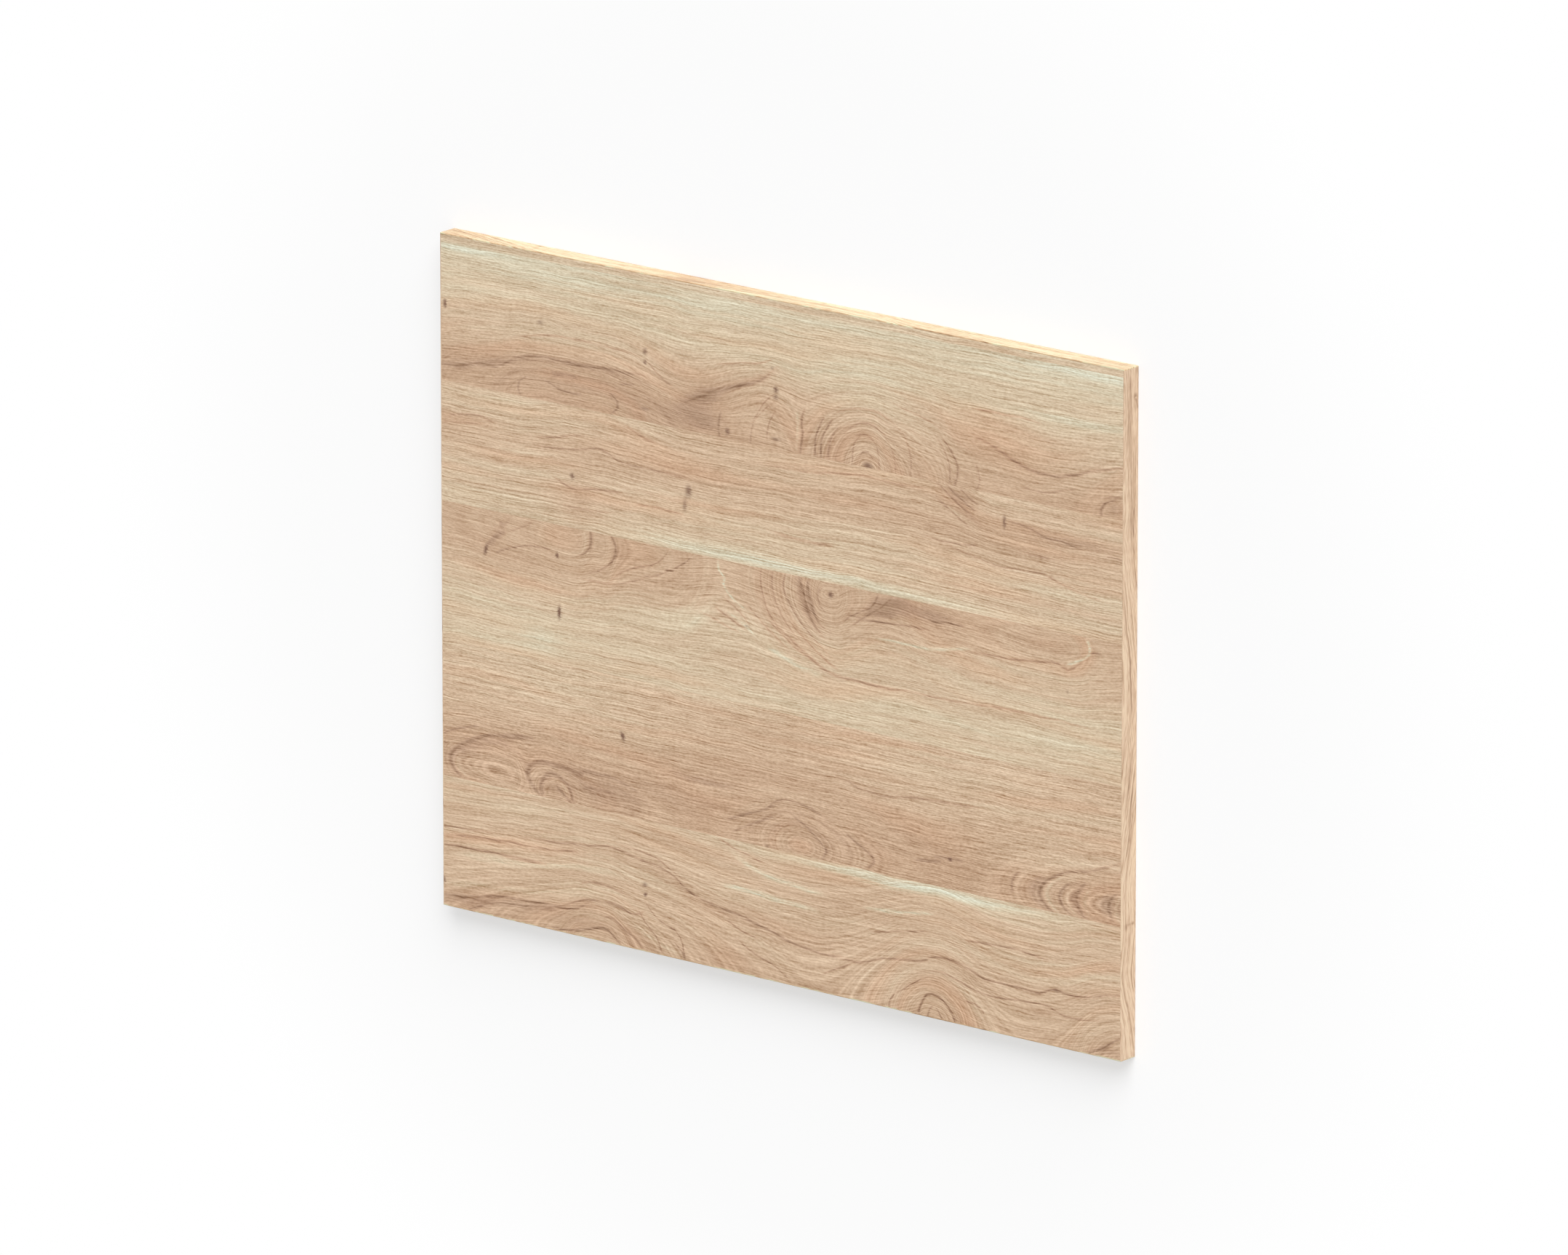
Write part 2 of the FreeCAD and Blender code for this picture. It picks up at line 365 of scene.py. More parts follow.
FIFTH_STAVE = Stave(
    top=336.5, reach=60, lean=-0.2, lean_reach=35, grain=1.18, figure=0.6,
    tones=(
        (0, 2), (336, 2), (357, 1), (372, -1), (386, -3), (400, -7), (415, -10), (429, -13), (443, -11),
        (560, -10),
    ),
    pith_height=((0, 436), (70, 438), (110, 444), (200, 442), (375, 443), (520, 440), (700, 434)),
    pith_depth=(
        (0, 22), (9, 17), (30, 12), (75, 10), (89, 19), (103, 11), (120, 3), (134, 10), (160, 20),
        (240, 32), (310, 32), (345, 18), (375, 4), (405, 18), (450, 34), (520, 40), (570, 38), (590, 33),
        (618, 25), (640, 19), (660, 14), (690, 7), (700, 5),
    ),
    patches=(
        Mark(275, 408, 40, 4, -12), Mark(350, 372, 80, 30, -6), Mark(90, 366, 90, 14, 4),
        Mark(150, 436, 50, 10, -7), Mark(30, 432, 30, 8, -5), Mark(610, 406, 100, 18, 7),
    ),
    strokes=(
        Stroke(((0, 417), (12, 410.5), (28, 406), (45, 402)), -22, 1.0),
        Stroke(((10, 431), (22, 424), (40, 417), (75, 411)), -9, 4.5),
        Stroke(((9, 431), (12, 428), (20, 422.5), (32, 416), (47, 410), (72, 405.5),
                (95, 404)), -24, 1.9),
        Stroke(((11, 428), (9, 434), (11, 441), (20, 449.5)), -22, 1.9),
        Stroke(((19, 428), (16, 434), (18, 441), (28, 448)), 10, 2.2),
        Stroke(((96, 424.5), (91, 429), (90, 435), (96, 443), (104, 450)), -28, 2.3),
        Stroke(((94, 426), (102, 422), (120, 421.5), (130, 422), (140, 423.5), (147, 423),
                (152, 420.5)), -27, 1.9),
        Stroke(((150, 421), (165, 420), (185, 423), (205, 428)), -20, 1.0),
        Stroke(((108, 433), (104.5, 440), (106, 449)), -27, 1.9),
        Stroke(((107, 434), (112, 430), (120, 429), (127, 432)), -27, 1.9),
        Stroke(((126, 431), (134, 438), (138, 449)), -20, 1.3),
        Stroke(((113, 437), (120, 433.5), (127, 437), (133, 443)), 14, 1.6),
        Stroke(((121, 440), (128, 444.5), (136, 450)), -28, 1.3),
        Stroke(((150, 434.5), (165, 433), (180, 434)), -20, 1.0),
        Stroke(((300, 434), (322, 426), (335, 421), (350, 414)), -22, 1.0),
        Stroke(((305, 443), (325, 434), (345, 425)), -16, 1.0),
        Stroke(((340, 419), (352, 409.5), (367, 408), (387, 411), (403, 417)), -18, 1.0),
        Stroke(((366, 420), (380, 426), (392, 434), (401, 441)), -22, 1.0),
        Stroke(((400, 439), (400.5, 444), (396, 450)), -22, 1.3),
        Stroke(((420, 424), (437, 433), (449, 440)), -20, 1.0),
        Stroke(((448, 438), (450, 442), (446, 447), (438, 450)), -24, 1.3),
        Stroke(((415, 380), (450, 385.5), (472, 385), (505, 381.5), (555, 380)), -22, 1.0),
        Stroke(((493, 432), (505, 431.5), (517, 430.5)), -30, 1.0),
        Stroke(((512, 426.5), (527, 425.5), (539, 425.5)), -30, 1.0),
        Stroke(((597, 424), (590, 433), (590.5, 442)), -24, 1.4),
        Stroke(((630, 422), (620.5, 430), (617.5, 437), (621, 444), (630, 450)), -36, 2.0),
        Stroke(((640, 420), (629, 428), (625, 436), (629, 444), (637, 450)), 14, 2.2),
        Stroke(((622, 422), (613, 430), (610, 437), (614, 444), (622, 450)), -9, 5),
        Stroke(((660, 418), (651, 429), (650, 438), (653, 445), (660, 450)), -9, 4),
        Stroke(((688, 424), (682, 432), (681.5, 438), (685, 446)), -8, 4),
        Stroke(((628, 423), (650, 414), (665, 411), (680, 406), (700, 398.5)), -26, 1.2),
        Stroke(((647, 424), (640, 431), (637.5, 437), (641, 444), (650, 450)), -28, 1.7),
        Stroke(((655, 424), (648, 431), (645, 437), (649, 444), (657, 450)), 12, 2.0),
        Stroke(((664, 420), (656, 430), (655.5, 438), (658, 445), (665, 450)), -30, 1.8),
        Stroke(((672, 421), (664, 430), (663, 438), (667, 446)), 12, 2.0),
        Stroke(((694, 424), (687.5, 432), (687, 438), (691, 446)), -30, 1.7),
        Stroke(((700, 425), (695, 432), (695, 440), (699, 447)), 12, 1.8),
    ),
    eyes=(
        Mark(655, 436, 60, 16, 1.2), Mark(45, 432, 50, 20, 1.4), Mark(115, 438, 36, 14, 0.8),
        Mark(385, 436, 70, 18, 0.8),
    ),
    knots=(
        Mark(190, 385, 2.6, 5.2, 0.85, -20), Mark(527, 426, 2.4, 2.2, 0.9),
        Mark(340, 449, 3.2, 2.2, 0.5),
    ),
)

SIXTH_STAVE = Stave(
    top=450.5, reach=180, lean=-0.35, lean_reach=52, grain=0.86, figure=1.7,
    tones=(
        (0, 3.5), (450, 3.5), (471, 0), (485, -2.5), (498, 1.5), (512, -2), (540, -2.5), (553, -6),
        (560, -7),
    ),
    pith_height=((0, 566), (700, 566)),
    pith_depth=(
        (0, 52), (60, 42), (120, 26), (165, 4), (195, 26), (215, 34), (260, 48), (320, 62), (400, 70),
        (450, 54), (490, 20), (510, 3), (530, 20), (565, 46), (640, 48), (680, 24), (700, 14),
    ),
    patches=(
        Mark(150, 548, 60, 9, -12), Mark(295, 548, 26, 10, -9), Mark(30, 551, 40, 8, -8),
        Mark(622, 534, 18, 4, -8), Mark(688, 554, 18, 5, -14), Mark(100, 470, 80, 10, 4),
        Mark(490, 455.5, 125, 4, 27), Mark(110, 518, 90, 14, 5), Mark(600, 545, 80, 14, 4),
    ),
    strokes=(
        Stroke(((0, 493), (30, 491), (50, 490)), -32, 0.7),
        Stroke(((0, 501), (40, 498), (100, 495), (150, 487)), -8, 4),
        Stroke(((20, 514), (80, 511), (140, 503), (180, 501)), 8, 3),
        Stroke(((0, 541), (60, 535), (110, 530), (150, 520), (180, 517)), 8, 3),
        Stroke(((0, 555), (50, 547), (110, 542), (150, 532), (180, 528)), -11, 4),
        Stroke(((225, 490), (250, 500), (280, 510), (320, 517), (360, 525)), -10, 4.5),
        Stroke(((200, 540), (225, 549), (250, 556)), 9, 2.5),
        Stroke(((8, 500), (50, 495.5), (65, 495), (110, 493), (150, 488.5)), -24, 0.7),
        Stroke(((100, 487), (150, 483), (165, 480.5), (182, 480), (200, 483), (215, 485.5), (232, 487.5),
                (245, 493), (253, 499), (265, 504), (280, 507.5), (297, 509.5), (320, 513.5), (340, 518),
                (360, 522.5), (385, 527), (405, 527.5)), -38, 0.9),
        Stroke(((187, 477), (210, 477.5), (225, 480.5), (240, 487), (252, 493)), -27, 0.7),
        Stroke(((0, 508.5), (30, 508), (55, 507), (75, 507), (105, 506)), -38, 1.0),
        Stroke(((148, 514), (165, 510.5), (180, 513), (192, 516.5)), -27, 0.7),
        Stroke(((135, 533), (150, 528), (162, 526), (180, 525.5), (190, 528), (199, 531.5),
                (209, 529)), -38, 0.9),
        Stroke(((0, 551), (25, 549), (50, 543), (100, 540), (120, 539.5), (137, 538),
                (150, 532)), -40, 0.9),
        Stroke(((25, 559), (50, 549.5), (85, 545), (93, 543)), -30, 0.7),
        Stroke(((118, 558), (140, 556.5), (155, 552), (162, 549), (171, 548.5), (178, 552),
                (186, 559)), -43, 0.9),
        Stroke(((172, 538), (182, 539), (190, 545), (200, 550.5), (210, 556)), -38),
        Stroke(((214, 519), (222, 528), (232, 533), (246, 537.5)), -35, 0.7),
        Stroke(((244, 536.5), (251, 543), (253, 551), (255, 560)), -32),
        Stroke(((207, 528), (214, 537), (225, 545.5), (230, 556)), -32),
        Stroke(((240, 546), (250, 550.5), (254, 560)), -27),
        Stroke(((300, 518), (317, 525.5), (330, 528.5)), -30, 0.7),
        Stroke(((310, 532), (325, 540.5), (350, 549), (362, 556)), -30, 0.7),
        Stroke(((292, 452), (310, 458), (335, 463)), -30, 0.7),
        Stroke(((308, 463), (330, 472), (362, 476), (400, 480)), 16, 2.4),
        Stroke(((295, 489), (330, 490), (390, 494)), 18, 2.2),
        Stroke(((440, 482), (475, 479.5), (510, 474)), 18, 1.8),
        Stroke(((405, 527.5), (420, 528.5), (432, 529), (445, 525.5), (457, 520.5), (480, 517),
                (500, 514), (510, 509.5), (520, 508), (537, 510), (547, 513), (557, 517.5), (572, 519),
                (602, 519), (620, 519), (628, 515), (635, 513.5), (645, 515), (660, 514), (672, 512.5),
                (690, 508), (700, 507)), -38, 0.9),
        Stroke(((398, 544), (412, 537), (425, 532)), -32, 0.7),
        Stroke(((502, 528), (494, 532), (482, 540.5), (472, 546), (467, 551), (465, 559)), -38),
        Stroke(((504, 541), (499, 548), (495, 559)), -49, 1.1),
        Stroke(((501, 543.5), (505, 540.5), (510, 539.5), (516, 540.5), (523, 544)), -49, 1.0),
        Stroke(((521, 543), (527.5, 549), (533, 559)), -46, 1.0),
        Stroke(((509, 549.5), (506, 554), (504.5, 560)), -38),
        Stroke(((513.5, 549.5), (517, 554), (520, 560)), -38),
        Stroke(((500, 523), (520, 520.5), (535, 524), (552, 529), (565, 531.5), (580, 530.5), (622, 528),
                (630, 529), (640, 532.5), (655, 533), (672, 531.5)), -30, 0.7),
        Stroke(((543, 540), (556, 541.5), (563, 548)), -32, 0.7),
        Stroke(((547, 489), (572, 488), (587, 487), (605, 488), (624, 490.5)), -35, 0.7),
        Stroke(((450, 499), (480, 494), (505, 490)), -24, 0.7),
        Stroke(((665, 559), (682, 552), (690, 547), (700, 542)), -38, 1.0),
    ),
    eyes=(Mark(510, 550, 45, 20, 0.8), Mark(185, 545, 60, 24, 0.6)),
    knots=(
        Mark(213, 504, 3.8, 2.4, 0.65), Mark(213.5, 512, 2.2, 2.2, 0.9), Mark(635, 514, 4.1, 2.2, 0.6),
        Mark(1, 538, 2.4, 4.1, 0.7),
    ),
)

STAVES = (FIRST_STAVE, SECOND_STAVE, THIRD_STAVE, FOURTH_STAVE, FIFTH_STAVE, SIXTH_STAVE)

# The back has a plain balancing decor, one stave with straight grain
BACK_STAVE = Stave(
    top=0.0, reach=100, lean=0.0, lean_reach=60, grain=1.0, figure=1.0,
    tones=((0, 0), (560, 0)),
    pith_height=((0, -200), (700, -200)),
    pith_depth=((0, 20), (700, 20)),
)


@dataclass(frozen=True)
class Grain:
    """Fibres, pores or bands of one size: length and width in mm, and strength in colour levels or mm."""

    length: float
    width: float
    detail: float
    strength: float


@dataclass(frozen=True, kw_only=True)
class PrintedFilm:
    """What each printed film has: a name, the colours of its print, its sheen and its emboss in mm."""

    name: str
    tones: Tones
    ior: float
    roughness: float
    roughness_swing: float
    emboss_depth: float


@dataclass(frozen=True, kw_only=True)
class OakPrint(PrintedFilm):
    """Melamine film printed with an oak decor and pressed with a matt wood-pore plate.

    The print gives fine brown dashes along the grain, darker growth rings round the eyes, and cream
    sapwood by some joints. The plate gives each pore a dark and a light lip and breaks up the dull sheen.
    Real pores are about 0.2 mm wide, too fine to show, so fibres, pores and flecks are drawn 1 mm wide.
    """

    name: str = "melamine_oak_print_matt_pore_plate"
    tones: Tones = (
        (-75, "#7B5738"),
        (-45, "#9B7A5E"),
        (-24, "#AF8E73"),
        (-12, "#BE9D7F"),
        (0, "#C9AC8E"),
        (12, "#D0BC9E"),
        (20, "#D1C7AC"),
        (37, "#DEDEC9"),
    )
    ior: float = 1.55
    roughness: float = 0.5
    roughness_swing: float = 0.18
    emboss_depth: float = 0.1
    # A pink flush that comes and goes with the rings
    flush: str = "#FFF0E8"
    flush_share: float = 1.5
    flush_grain: Grain = Grain(160, 12, 0, 0)
    # The knots' brown, where in the soft oval it starts and is full, and how ragged it is in mm
    knot: str = "#6A4530"
    knot_from: float = 0.1
    knot_to: float = 0.95
    knot_ragged: float = 3.5
    # The grain's slow and quick waver up and down the face
    wander: Grain = Grain(45, 45, 1, 3.2)
    jitter: Grain = Grain(25, 9, 0, 1.2)
    # What a level of fine grain adds to red, green and blue, as a share of the tone under it
    fine_levels: tuple[float, float, float] = (0.0099, 0.0125, 0.0153)
    fine_lift: float = 4.0
    # Rows of fibres in mm, and how far each is shifted along the face
    row_width: float = 2.5
    row_shift: float = 180.0
    # Long fibres, the pores that they shift along, the darkest pores, and flecks
    fibre: Grain = Grain(130, 1.05, 1, 75)
    pore: Grain = Grain(18, 1.0, 1.5, 42)
    pore_shift: float = 10.0
    dark_pore: float = -8.0
    dark_pore_from: float = 0.45
    dark_pore_to: float = 0.28
    fleck: Grain = Grain(3.6, 0.95, 1, 51)
    # Growth rings, from single lines to broad bands
    ring_line: Grain = Grain(160, 1.3, 1, 42)
    ring_band: Grain = Grain(200, 5, 1, 12)
    broad_band: Grain = Grain(260, 20, 1, 10)
    # How far the fibres draw out the edges of tones and patches, in mm
    streak: float = 7.0
    # How much the pores break up a stroke, and how ragged it is in mm
    stroke_patchy: float = 3.2
    stroke_ragged: float = 0.9
    # Distance in mm that keeps the staves' patterns apart
    stave_offset: float = 1000.0


@dataclass(frozen=True, kw_only=True)
class OakEdging(PrintedFilm):
    """Thin edging of printed oak decor, ironed on and trimmed flush.

    Its grain runs along the strip in long soft lines, and its lacquer is a little smoother than the face.
    As on the face, its finest lines are drawn 1 mm wide, because real ones are too fine to show.
    Places on it are in mm: along the strip from its left or upper end, and across it from the decor face.
    The lie is how far the grain drifts across the strip on its way along it.
    """

    lie: Curve
    marks: tuple[Mark, ...]
    strokes: tuple[Stroke, ...]
    ior: float = 1.5
    roughness: float = 0.42
    roughness_swing: float = 0.1
    emboss_depth: float = 0.03
    ragged: float = 1.4
    wander: Grain = Grain(40, 12, 1, 2.5)
    layers: tuple[Grain, ...] = (
        Grain(170, 4.5, 1, 66),
        Grain(70, 1.4, 1, 92),
        Grain(9, 1.0, 1, 66),
    )


SIDE_EDGING = OakEdging(
    name="printed_oak_edging_satin_lacquer",
    tones=(
        (-79, "#7A5A42"), (-42, "#A7886C"), (-26, "#B6987B"), (-14, "#C1A386"), (-4, "#CAAD90"),
        (4, "#D0B498"), (12, "#D8BFA1"),
    ),
    lie=(
        (0, 0), (39, 2), (78, 0), (112, 1), (136, 0), (195, 9), (245, 16), (275, 17),
        (305, 14), (340, 8), (396, -2), (426, -6), (452, -6), (478, -8), (490, -9), (506, -6),
        (529, 0), (560, 4),
    ),
    marks=(
        Mark(24, 14, 2.6, 2.2, -60), Mark(25, 14.4, 0.9, 1.0, 54), Mark(3, 15.5, 4, 1.2, -30),
        Mark(278, 4, 14, 5, 14), Mark(541, 9, 12, 2, 14), Mark(452, 5.7, 3.0, 2.2, -39),
        Mark(450, 14.3, 1.5, 1.2, -54), Mark(450, 10, 1.0, 4.0, -21), Mark(363, 12, 30, 5, -12),
        Mark(107, 7, 25, 5, 8),
    ),
    strokes=(
        Stroke(((0, 7.5), (19, 7.5), (39, 9.8), (58, 9), (78, 7.5)), -18),
        Stroke(((26, 15), (30, 16), (34, 17)), -36, 1.0),
        Stroke(((112, 14.3), (122, 11.3), (130, 11.7), (138, 12.2)), -36, 0.7),
        Stroke(((139, 2.3), (151, 6), (167, 8.3), (196, 10.5), (221, 13.5),
                (241, 16.5)), -24, 0.7),
        Stroke(((159, 0.8), (181, 3.8), (200, 6.8), (218, 9.8), (235, 12.8)), -19, 0.7),
        Stroke(((136, 10.5), (154, 12.8), (171, 15), (181, 16.5)), -24, 0.7),
        Stroke(((310, 12.3), (321, 10.5), (333, 9), (347, 6.8), (358, 5.3), (370, 3)), -30),
        Stroke(((326, 15.8), (340, 13.5), (352, 11.3), (367, 10), (381, 8.3), (393, 5.3),
                (404, 2.3)), -45),
        Stroke(((388, 16.5), (399, 12.8), (410, 9)), -21, 0.6),
        Stroke(((465, 15), (479, 13.5), (489, 12), (496, 12.8), (506, 15.8)), -36, 0.7),
        Stroke(((517, 0.8), (527, 4.5), (539, 8.3), (552, 9)), -24, 0.6),
        Stroke(((530, 0.8), (543, 3.8), (555, 5.3)), -21, 0.6),
    ),
)

# The rim strip is cut from a paler length, with more sapwood in its print
RIM_EDGING = OakEdging(
    name="printed_sapwood_oak_edging_satin_lacquer",
    tones=(
        (-55, "#8E6A48"), (-24, "#BB9A75"), (-13, "#C6A580"), (-4, "#CBAF89"), (4, "#CEBA95"),
        (12, "#CFC29D"), (19, "#D0CCA9"),
    ),
    lie=(
        (0, 0), (54, -12), (97, -20), (136, -22), (245, -14), (344, -4), (394, 0), (445, -2),
        (485, -9), (556, -12), (700, -14),
    ),
    marks=(
        Mark(8, 11, 14, 4, -15), Mark(92, 15, 2.0, 1.6, -33), Mark(94, 6.5, 2.6, 2.2, -27),
        Mark(93, 11, 1.5, 3, -13), Mark(181, 9, 45, 4.5, 14), Mark(294, 9, 50, 5, -13),
        Mark(247, 8.5, 8, 2.5, -13), Mark(387, 14, 4, 1.6, -39), Mark(460, 8, 18, 3.5, 11),
        Mark(521, 3, 6, 3, -10), Mark(618, 6, 40, 4, 11), Mark(632, 17, 2, 0.8, -21),
        Mark(693, 15, 8, 2.5, -16),
    ),
    strokes=(
        Stroke(((2, 12), (26, 9), (44, 4.4), (53, 1)), -25, 0.9),
        Stroke(((24, 17), (36, 12), (55, 8)), -16, 1.0),
        Stroke(((107, 17), (115, 15.5), (122, 14)), -19),
        Stroke(((245, 6.5), (294, 7.5), (344, 11)), -10, 1.4),
        Stroke(((319, 6), (332, 7.5), (344, 9)), 15),
        Stroke(((344, 12), (364, 13.5), (382, 14.5)), -13, 1.2),
        Stroke(((465, 16), (473, 14), (481, 12)), -25),
    ),
)


def draw_curves(node: bpy.types.Node, courses: Sequence[Curve], span: float) -> None:
    """Put a node's curves through given points.

    Args:
        node: a new curve node, whose curves still have only their two ends.
        courses: for each curve, some places and the value at each, in mm.
        span: length that the node takes for 1, in mm.
    """
    for line, points in zip(node.mapping.curves, courses):
        for handle, (place, value) in zip(line.points, (points[0], points[-1])):
            handle.location = (place / span, value / span)
        for place, value in points[1:-1]:
            line.points.new(place / span, value / span)
    node.mapping.use_clip = False
    node.mapping.update()


def fill_slots(piece: bpy.types.Object, made: bpy.types.Material) -> None:
    """Put a finish in each of a piece's own slots.

    Args:
        piece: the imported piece.
        made: the finish's material.
    """
    for slot in piece.material_slots:
        slot.material = made


@dataclass
class Canvas:
    """Where thin lines are drawn: places along and across them in mm, and the share along a span."""

    along: Feed
    across: Feed
    share: Feed
    span: float


class Painter:
    """Draws a print with shader nodes: its grain, soft ovals, thin lines and colours, at places in mm."""

    def __init__(self, owner: bpy.types.Material | bpy.types.World) -> None:
        """Start on an empty node tree.

        Args:
            owner: the material or world that is painted.
        """
        owner.use_nodes = True
        owner.node_tree.nodes.clear()
        self.node = partial(add_node, owner.node_tree)

    def add_course(self, place: Feed, points: Curve, span: float, total: Feed, sense: int = 1) -> Feed:
        """Add a value that runs smoothly through given points to a running total.

        Args:
            place: place along the surface.
            points: some places and the value at each.
            span: length of the surface.
            total: what the value is added to.
            sense: 1 to add the value and -1 to take it away.

        Returns:
            The new total.
        """
        share = self.node("Math", {0: place, 1: span}, operation="DIVIDE")
        curve = self.node("FloatCurve", {"Value": share})
        draw_curves(curve, (points,), span)
        return self.node("Math", {0: curve, 1: sense * span, 2: total}, operation="MULTIPLY_ADD")

    def bell(self, place: Feed, mark: Mark) -> Feed:
        """Make a soft oval that is 1 in its middle and fades to nothing.

        Args:
            place: where each point of the surface lies.
            mark: the oval's middle, half sizes and tilt.

        Returns:
            The oval.
        """
        if mark.tilt:
            local = self.node("Mapping", {
                "Vector": place,
                "Location": (mark.x, mark.y, 0),
                "Rotation": (0, 0, math.radians(mark.tilt)),
                "Scale": (mark.half_length, mark.half_width, 1),
            }, vector_type="TEXTURE")
        else:
            local = self.node("VectorMath", {
                0: place,
                1: (1 / mark.half_length, 1 / mark.half_width, 0),
                2: (-mark.x / mark.half_length, -mark.y / mark.half_width, 0),
            }, operation="MULTIPLY_ADD")
        square = self.node("VectorMath", {0: local, 1: local}, operation="DOT_PRODUCT")
        return self.node("Math", {0: ONE_OVER_E, 1: square}, operation="POWER")

    def add_marks(self, place: Feed, marks: tuple[Mark, ...], total: Feed) -> Feed:
        """Add soft ovals to a running total.

        Args:
            place: where each point of the surface lies.
            marks: the ovals and their strengths.
            total: what the ovals are added to.

        Returns:
            The new total.
        """
        for mark in marks:
            bell = self.bell(place, mark)
            total = self.node("Math", {0: bell, 1: mark.strength, 2: total}, operation="MULTIPLY_ADD")
        return total

    def lanes(self, canvas: Canvas, strokes: Sequence[Stroke]) -> Feed:
        """Draw up to three thin lines at once, one on each lane of the vector nodes.

        Args:
            canvas: where each point of the surface lies.
            strokes: the lines, which all are steep or all aren't.

        Returns:
            Their sum in colour levels.
        """
        node = self.node
        courses = [stroke.course for stroke in strokes]
        lanes = []
        for stroke, course in zip(strokes, courses):
            first, last = course[0][0], course[-1][0]
            half = (last - first) / 2
            middle = (last + first) / 2
            lanes.append((1 / stroke.half_width, 1 / half, -middle / half, stroke.strength))
        lanes += [IDLE_LANE] * (LANES - len(lanes))
        thinness, quickness, start, strength = zip(*lanes)
        curves = node("VectorCurve", {"Vector": canvas.share})
        draw_curves(curves, courses, canvas.span)
        back = (-canvas.span,) * LANES
        beside = node("VectorMath", {0: curves, 1: back, 2: canvas.across}, operation="MULTIPLY_ADD")
        beside = node("VectorMath", {0: beside, 1: thinness}, operation="MULTIPLY")
        beside = node("VectorMath", {0: beside, 1: beside}, operation="MULTIPLY")
        beyond = node("VectorMath", {0: canvas.along, 1: quickness, 2: start}, operation="MULTIPLY_ADD")
        for _ in range(STROKE_END_SQUARINGS):
            beyond = node("VectorMath", {0: beyond, 1: beyond}, operation="MULTIPLY")
        from_line = node("VectorMath", {0: beside, 1: beyond}, operation="ADD")
        lines = node("VectorMath", {0: (ONE_OVER_E,) * LANES, 1: from_line}, operation="POWER")
        return node("VectorMath", {0: lines, 1: strength}, operation="DOT_PRODUCT")

    def strokes(self, x: Feed, y: Feed, strokes: tuple[Stroke, ...], span: float) -> Feed:
        """Draw thin lines.

        Args:
            x: place along the surface.
            y: place down the surface.
            strokes: the lines.
            span: length of the surface.

        Returns:
            Their sum in colour levels.
        """
        total: Feed = 0.0
        for steep, along, across in ((False, x, y), (True, y, x)):
            share = self.node("Math", {0: along, 1: span}, operation="DIVIDE")
            canvas = Canvas(along, across, share, span)
            alike = [stroke for stroke in strokes if stroke.steep is steep]
            for start in range(0, len(alike), LANES):
                drawn = self.lanes(canvas, alike[start:start + LANES])
                total = self.node("Math", {0: drawn, 1: total}, operation="ADD")
        return total

    def noise(self, place: Feed, grain: Grain) -> Feed:
        """Make noise that is stretched along the grain.

        Args:
            place: coordinates that the grain follows.
            grain: its sizes.

        Returns:
            The noise, between 0 and 1.
        """
        size = (1 / grain.length, 1 / grain.width, 0)
        stretched = self.node("VectorMath", {0: place, 1: size}, operation="MULTIPLY")
        settings = {"Vector": stretched, "Scale": 1, "Detail": grain.detail}
        return self.node("TexNoise", settings, noise_dimensions="2D")

    def swing(self, noise: Feed, swing: float, total: Feed) -> Feed:
        """Add noise to a running total, so that the noise's middle adds nothing.

        Args:
            noise: the noise, between 0 and 1.
            swing: what the noise's full range adds.
            total: what it is added to.

        Returns:
            The new total.
        """
        centred = self.node("Math", {0: noise, 1: NOISE_MIDDLE}, operation="SUBTRACT")
        return self.node("Math", {0: centred, 1: swing, 2: total}, operation="MULTIPLY_ADD")

    def colours(self, tone: Feed, tones: Tones) -> Feed:
        """Turn colour levels into the colours of a print.

        Args:
            tone: the levels.
            tones: some levels, from dark to pale, and the print's colour at each.

        Returns:
            The print's colour.
        """
        lowest, highest = tones[0][0], tones[-1][0]
        span = highest - lowest
        share = self.node("Math", {0: tone, 1: 1 / span, 2: -lowest / span}, operation="MULTIPLY_ADD")
        ramp = self.node("ValToRGB", {"Fac": share})
        elements = ramp.color_ramp.elements
        for level, _ in tones[1:-1]:
            elements.new((level - lowest) / span)
        for element, (level, code) in zip(elements, tones):
            element.position = (level - lowest) / span
            element.color = linear(code)
        return ramp

    def surface(self, film: PrintedFilm, colour: Feed, pores: Feed, relief: Feed) -> bpy.types.Node:
        """Make the surface of a printed film.

        Args:
            film: its sheen and emboss.
            colour: the print's colour.
            pores: noise that breaks up the sheen.
            relief: height of the emboss.

        Returns:
            The film's shader.
        """
        dull = self.node("MapRange", {
            "Value": pores,
            "To Min": film.roughness + film.roughness_swing,
            "To Max": film.roughness - film.roughness_swing,
        })
        bump = self.node("Bump", {"Height": relief, "Distance": film.emboss_depth * MM, "Strength": 1})
        return self.node("BsdfPrincipled", {
            "Base Color": colour,
            "Roughness": dull,
            "Normal": bump,
            "IOR": film.ior,
        })


@dataclass
class Ground:
    """Places on the face that all staves share: straight ones, ones that waver, and which side it is."""

    width: float
    height: float
    x: Feed
    straight_y: Feed
    y: Feed
    place: Feed
    front: Feed


